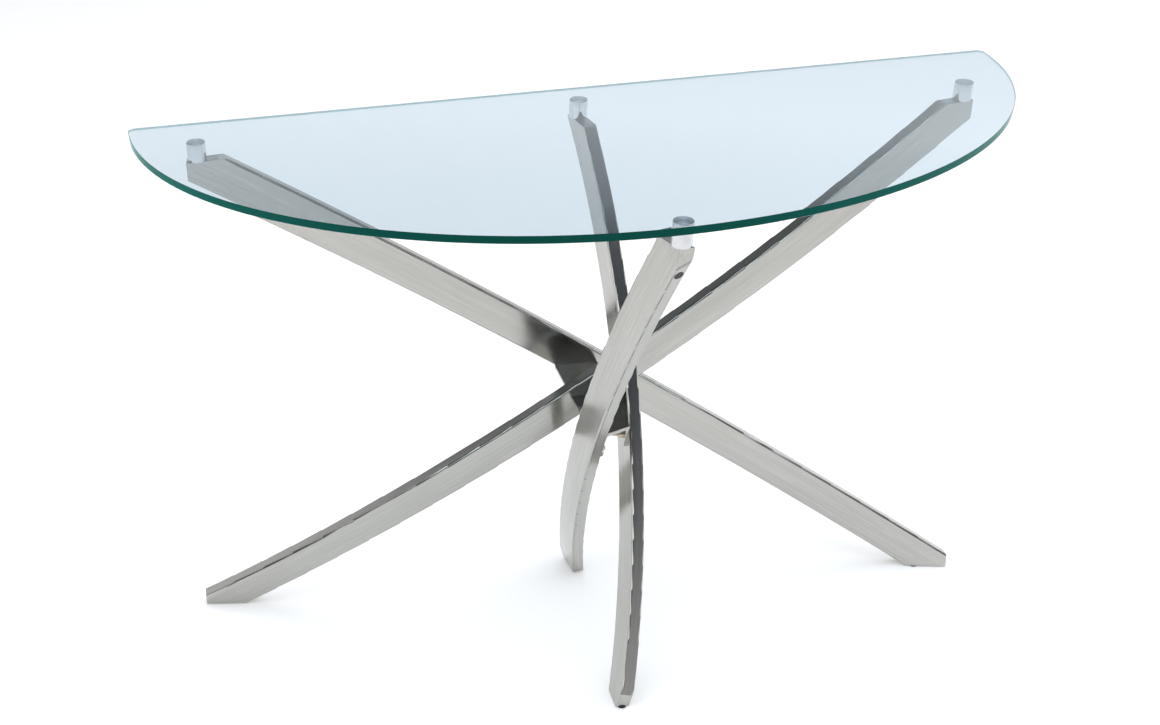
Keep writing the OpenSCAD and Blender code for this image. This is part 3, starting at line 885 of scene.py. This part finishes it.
# %% Soft lamps
# Each line gives a name, a place, a point to aim at, a width, a depth, watts, and whether metal shows it.
def soft_lamp(name, place_at, look_at, width, depth, power, in_reflections):
    lamp_data = bpy.data.lights.new(name, "AREA")
    lamp_data.shape = "RECTANGLE"
    lamp_data.size = width
    lamp_data.size_y = depth
    lamp_data.energy = power
    lamp = bpy.data.objects.new(name, lamp_data)
    lamp.location = place_at
    aim = Vector(look_at) - Vector(place_at)
    lamp.rotation_mode = "QUATERNION"
    lamp.rotation_quaternion = aim.to_track_quat("-Z", "Y")
    lamp.visible_glossy = in_reflections
    bpy.context.scene.collection.objects.link(lamp)


middle = (cad_low + cad_high) / 2
soft_lamp("overhead", (0.3, -0.2, 5.0), middle, 7.0, 6.0, 180, False)
soft_lamp("left_bank", (-3.0, -0.6, 1.5), middle, 1.6, 2.2, 16, True)
soft_lamp("right_bank", (3.2, 0.4, 1.5), middle, 1.6, 2.2, 14, True)
print("Lamps:", [lamp.name for lamp in bpy.data.lights])

# %% [markdown]
# The room is a painted sphere of light: bright near the floor, dark at the height of a person and
# bright again overhead, and darker in front than behind. That is what draws the dark sides of the
# tubes. Each wall is a colour ramp over the height that a ray points to, and the two walls are
# blended by how far it points back. The camera itself sees the room as plain white.

# %% The room that the metal reflects
SOFT_TURN = 0.25
world = bpy.data.worlds.new("studio_room")
bpy.context.scene.world = world
world.use_nodes = True
tree = world.node_tree
room = tree.nodes["Background"]
heading = place(tree, "ShaderNodeTexCoord").outputs["Generated"]
heading_parts = place(tree, "ShaderNodeSeparateXYZ", [heading]).outputs


def wall_of_light(stops):
    ramp = place(tree, "ShaderNodeValToRGB", [heading_parts[2]])
    elements = ramp.color_ramp.elements
    elements[0].position = stops[0][0]
    elements[0].color = (*stops[0][1], 1.0)
    elements[1].position = stops[-1][0]
    elements[1].color = (*stops[-1][1], 1.0)
    for height, tone in stops[1:-1]:
        elements.new(height).color = (*tone, 1.0)
    return ramp.outputs[0]


behind = wall_of_light([
    (0.0, (0.95, 0.95, 0.96)),
    (0.36, (0.85, 0.86, 0.88)),
    (0.44, (0.17, 0.18, 0.19)),
    (0.66, (0.15, 0.16, 0.17)),
    (0.80, (0.75, 0.76, 0.78)),
    (1.0, (0.85, 0.86, 0.88)),
])
in_front = wall_of_light([
    (0.0, (0.70, 0.70, 0.71)),
    (0.12, (0.45, 0.46, 0.48)),
    (0.22, (0.10, 0.11, 0.13)),
    (0.60, (0.12, 0.13, 0.15)),
    (0.78, (0.60, 0.61, 0.63)),
    (1.0, (0.85, 0.86, 0.88)),
])
from_front_to_back = [heading_parts[1], -SOFT_TURN, SOFT_TURN, 0.0, 1.0]
side_of_room = place(tree, "ShaderNodeMapRange", from_front_to_back).outputs[0]
both_walls = blend_colours(tree, side_of_room, in_front, behind)
tree.links.new(both_walls, room.inputs["Color"])
room.inputs["Strength"].default_value = 1.0
plain = place(tree, "ShaderNodeBackground", {"Color": (1.0, 1.0, 1.0, 1.0), "Strength": 1.0})
light_path = place(tree, "ShaderNodeLightPath")
choose = place(tree, "ShaderNodeMixShader", [light_path.outputs["Is Camera Ray"]])
tree.links.new(room.outputs[0], choose.inputs[1])
tree.links.new(plain.outputs[0], choose.inputs[2])
tree.links.new(choose.outputs[0], tree.nodes["World Output"].inputs["Surface"])
bpy.context.scene.view_settings.view_transform = "Standard"
print("Room made:", world.name)

# %% [markdown]
# The camera looks down on the table from the front and a little to the left. Its place is given in
# the table's own frame, and its turn as three angles: round to the right, down, and a slight tilt.

# %% The camera
EYE = Vector((-0.56685, -1.66630, 1.50470))
TURN_RIGHT = math.radians(8.901)
LOOK_DOWN = math.radians(32.094)
TILT = math.radians(-2.058)
FOCAL_LENGTH = 45.89
SENSOR_WIDTH = 36.0
SHIFT_RIGHT = 0.164
SHIFT_UP = 0.0325
right = Vector((math.cos(TURN_RIGHT), -math.sin(TURN_RIGHT), 0.0))
forward = Vector((
    math.sin(TURN_RIGHT) * math.cos(LOOK_DOWN),
    math.cos(TURN_RIGHT) * math.cos(LOOK_DOWN),
    -math.sin(LOOK_DOWN),
))
upright = right.cross(forward)
tilted_right = right * math.cos(TILT) + upright * math.sin(TILT)
tilted_up = upright * math.cos(TILT) - right * math.sin(TILT)
camera_data = bpy.data.cameras.new("camera")
camera_data.lens = FOCAL_LENGTH
camera_data.sensor_width = SENSOR_WIDTH
camera_data.shift_x = SHIFT_RIGHT
camera_data.shift_y = SHIFT_UP
camera = bpy.data.objects.new("camera", camera_data)
bpy.context.scene.collection.objects.link(camera)
axes = Matrix((tilted_right, tilted_up, -forward)).transposed()
camera.matrix_world = Matrix.Translation(EYE) @ axes.to_4x4()
bpy.context.scene.camera = camera
print("Camera is", round((EYE - middle).length, 2), "m from the middle of the table")
